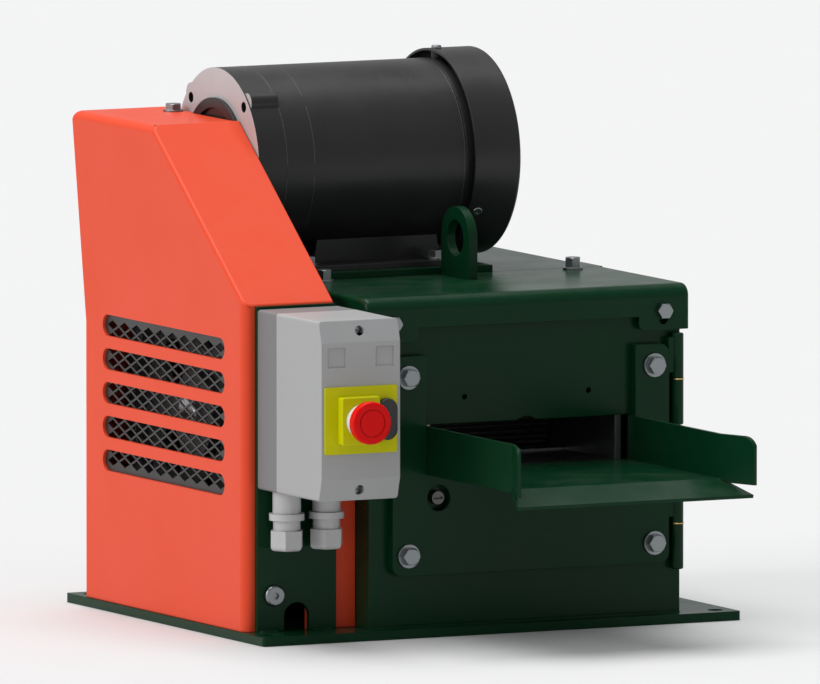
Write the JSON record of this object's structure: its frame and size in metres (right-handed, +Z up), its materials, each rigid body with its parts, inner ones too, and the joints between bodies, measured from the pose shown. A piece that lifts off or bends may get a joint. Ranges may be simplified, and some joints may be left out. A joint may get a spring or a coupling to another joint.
{
  "type": "drum chopper",
  "caption": "Motor-driven bench drum chopper with a feed tray, hinged front door, belt guard, fluted knife drum and a stop button box",
  "frame": {"origin": "centre of the base plate's underside", "axes": "+X to the closed end of the drum, +Y to the back, +Z up"},
  "size_m": [0.47, 0.5958, 0.4935],
  "materials": {
    "green_paint": "gloss",
    "orange_paint": "satin",
    "motor_black": "gloss",
    "zinc_steel": "satin",
    "brass": "satin",
    "tool_steel": "ground",
    "dark_steel": "oiled",
    "bright_steel": "ground",
    "cast_iron": "machined",
    "core_steel": "matt",
    "belt_rubber": "matt",
    "grey_plastic": "fine texture",
    "dark_grey_plastic": "fine texture",
    "yellow_plastic": "gloss",
    "red_plastic": "gloss",
    "black_plastic": "matt"
  },
  "bodies": {
    "frame": {"adjuster_screws": "zinc_steel", "base_plate": "green_paint", "bearing_bolts": "zinc_steel", "bearing_housings": "cast_iron", "bed_knife": "tool_steel", "belt_guard": "orange_paint", "box_base": "dark_grey_plastic", "box_cover": "grey_plastic", "box_screws": "zinc_steel", "button_block": "yellow_plastic", "button_plate": "yellow_plastic", "cable_glands": "black_plastic", "carrier_fasteners": "zinc_steel", "contactor": "black_plastic", "control_bracket": "green_paint", "cover_bolts": "zinc_steel", "discharge_duct": "green_paint", "drive_belts": "belt_rubber", "guard_bolts": "zinc_steel", "guard_mesh": "dark_steel", "guard_strut": "zinc_steel", "hinge_pins": "zinc_steel", "hinge_washers": "brass", "hood_screws": "zinc_steel", "housing": "green_paint", "knife_carrier": "dark_steel", "lifting_bar": "green_paint", "motor_foot": "motor_black", "motor_foot_bolts": "zinc_steel", "motor_frame": "motor_black", "motor_front_bell": "motor_black", "motor_hood": "motor_black", "motor_plate": "green_paint", "motor_rear_bell": "motor_black", "motor_stator": "core_steel", "padlock_piece": "black_plastic", "terminal_box": "motor_black", "terminal_lid": "motor_black", "throat_frame": "green_paint", "top_cover": "green_paint", "wall_knuckles": "green_paint"},
    "drum_unit": {"drum": "dark_steel", "drum_knives": "tool_steel", "knife_wedges": "dark_steel", "wedge_screws": "zinc_steel", "drum_shaft": "bright_steel", "sheave_key": "zinc_steel", "bearing_rings": "bright_steel", "driven_sheave": "cast_iron", "sheave_bush": "cast_iron"},
    "motor_rotor_unit": {"motor_rotor": "core_steel", "motor_shaft": "bright_steel", "motor_fan": "black_plastic", "motor_pulley": "cast_iron", "motor_bearings": "bright_steel"},
    "door": {"door_plate": "green_paint", "door_bolts": "zinc_steel", "door_knuckles": "green_paint", "feed_tray": "green_paint"},
    "stop_head": {"stop_button": "red_plastic"}
  },
  "joints": [
    {"name": "drum_spin", "type": "hinge", "parent": "frame", "child": "drum_unit", "pos_m": [0.031, 0.003, 0.184], "axis": [1, 0, 0], "continuous": true},
    {"name": "motor_spin", "type": "hinge", "parent": "frame", "child": "motor_rotor_unit", "pos_m": [-0.03, 0.076, 0.399], "axis": [1, 0, 0], "continuous": true},
    {"name": "door_hinge", "type": "hinge", "parent": "frame", "child": "door", "pos_m": [0.1767, -0.188, 0.152], "axis": [0, 0, 1], "range_deg": [0, 110]},
    {"name": "stop_press", "type": "slide", "parent": "frame", "child": "stop_head", "axis": [0, 1, 0], "range_m": [0, 0.004], "stiffness_N_per_m": 800, "springref_m": -0.002}
  ],
  "couplings": [
    {"joint": "motor_spin", "follows": "drum_spin", "ratio": 4.5517}
  ]
}
